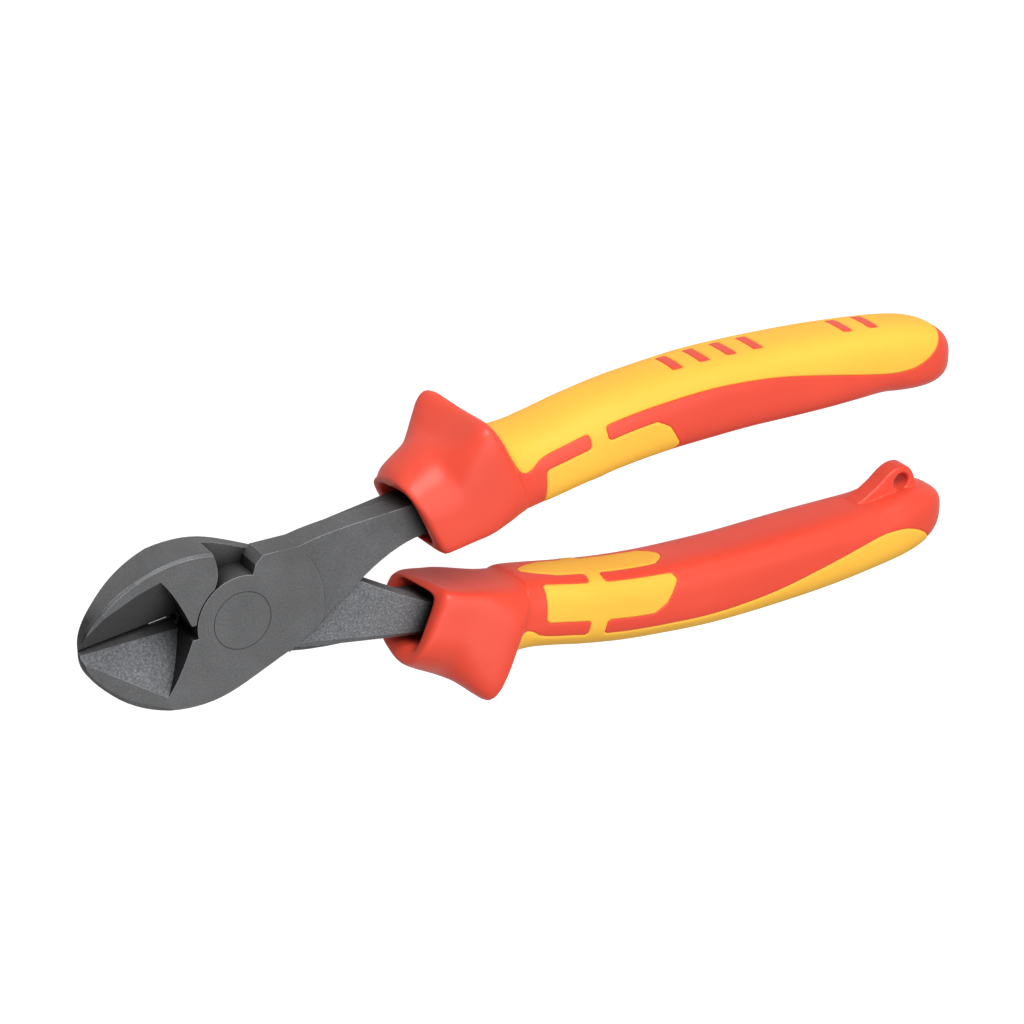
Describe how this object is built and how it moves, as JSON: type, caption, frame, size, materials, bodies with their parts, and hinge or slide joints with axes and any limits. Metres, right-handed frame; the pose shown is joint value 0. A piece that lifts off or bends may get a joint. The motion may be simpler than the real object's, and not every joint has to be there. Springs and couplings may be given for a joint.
{
  "type": "diagonal cutting pliers",
  "caption": "Heavy-duty diagonal cutting pliers with a riveted lap joint, two-colour insulated handles, slip guards and a tether eye.",
  "frame": {"origin": "on the pivot axis at the rear flat face of the joint", "axes": "+X along the tool from the pivot to the handle ends, +Y across the tool towards the handle of the front lever, +Z along the pivot axis towards the front face; jaws closed at rest"},
  "size_m": [0.1999, 0.061, 0.0236],
  "materials": {
    "forged_steel": "dark grey oxide finish, fine grain, satin",
    "rivet_steel": "dark grey oxide finish, ground flush, satin",
    "insulation": "inner insulation layer, matte",
    "red_sleeve": "smooth hard plastic, semi-gloss",
    "yellow_grip": "soft overmould, matte"
  },
  "bodies": {
    "front_half": {"front_lever": "forged_steel", "pivot_rivet": "rivet_steel", "upper_tang_liner": "insulation", "upper_sleeve": "red_sleeve", "upper_soft_grip": "yellow_grip"},
    "rear_half": {"rear_lever": "forged_steel", "lower_tang_liner": "insulation", "lower_sleeve": "red_sleeve", "lower_soft_grip": "yellow_grip"}
  },
  "joints": [
    {"name": "jaw_pivot", "type": "hinge", "parent": "front_half", "child": "rear_half", "pos_m": [0, 0, 0.006], "axis": [0, 0, -1], "range_deg": [0, 35]}
  ]
}
